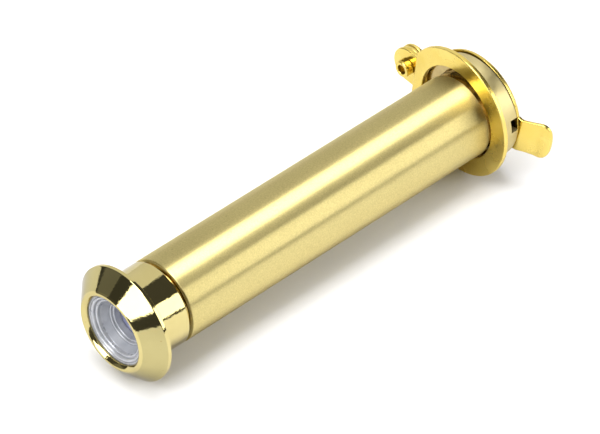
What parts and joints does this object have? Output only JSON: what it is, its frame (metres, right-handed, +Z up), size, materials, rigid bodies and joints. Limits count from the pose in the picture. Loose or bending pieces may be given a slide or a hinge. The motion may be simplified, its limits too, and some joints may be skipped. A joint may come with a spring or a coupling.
{
  "type": "door viewer",
  "caption": "Brass door viewer: two screwed-together tubes with a wide-angle lens set, a door plate and a swivelling privacy cover.",
  "frame": {"origin": "middle of the underside of the viewer as it lies on its plate, on the surface that it lies on", "axes": "+Y along the tube from the outside head to the inside cover, +Z up from the surface"},
  "size_m": [0.029, 0.0808, 0.0222],
  "materials": {
    "polished_brass": "mirror polished",
    "satin_brass": "satin brushed",
    "grey_housing": "gloss",
    "lens_glass": "polished clear",
    "black_ring": "matte"
  },
  "bodies": {
    "door_plate": {"base_plate": "polished_brass", "pivot_rivet": "polished_brass", "pivot_washer": "polished_brass"},
    "privacy_cover": {"swing_cover": "polished_brass"},
    "inside_barrel": {"satin_sleeve": "satin_brass", "eyepiece_flange": "polished_brass", "eye_retaining_ring": "black_ring", "eye_lens": "lens_glass", "eye_spacer": "black_ring"},
    "outside_viewer": {"front_head": "polished_brass", "threaded_tube": "polished_brass", "lens_housing": "grey_housing", "objective_lens_1": "lens_glass", "lens_spacer_1": "black_ring", "objective_lens_2": "lens_glass", "lens_spacer_2": "black_ring", "objective_lens_3": "lens_glass", "objective_retaining_ring": "black_ring"}
  },
  "joints": [
    {"name": "cover_swing", "type": "hinge", "parent": "door_plate", "child": "privacy_cover", "pos_m": [-0.01137, 0.03518, 0.01257], "axis": [0, 1, 0], "range_deg": [-175, 175]},
    {"name": "thread_turn", "type": "hinge", "parent": "door_plate", "child": "inside_barrel", "pos_m": [0.00119, 0.00318, 0.01071], "axis": [0, 1, 0], "range_deg": [0, 9000]},
    {"name": "head_slide", "type": "slide", "parent": "door_plate", "child": "outside_viewer", "axis": [0, -1, 0], "range_m": [0, 0.025]}
  ],
  "couplings": [
    {"joint": "head_slide", "follows": "thread_turn", "m_per_rad": 0.00015915}
  ]
}
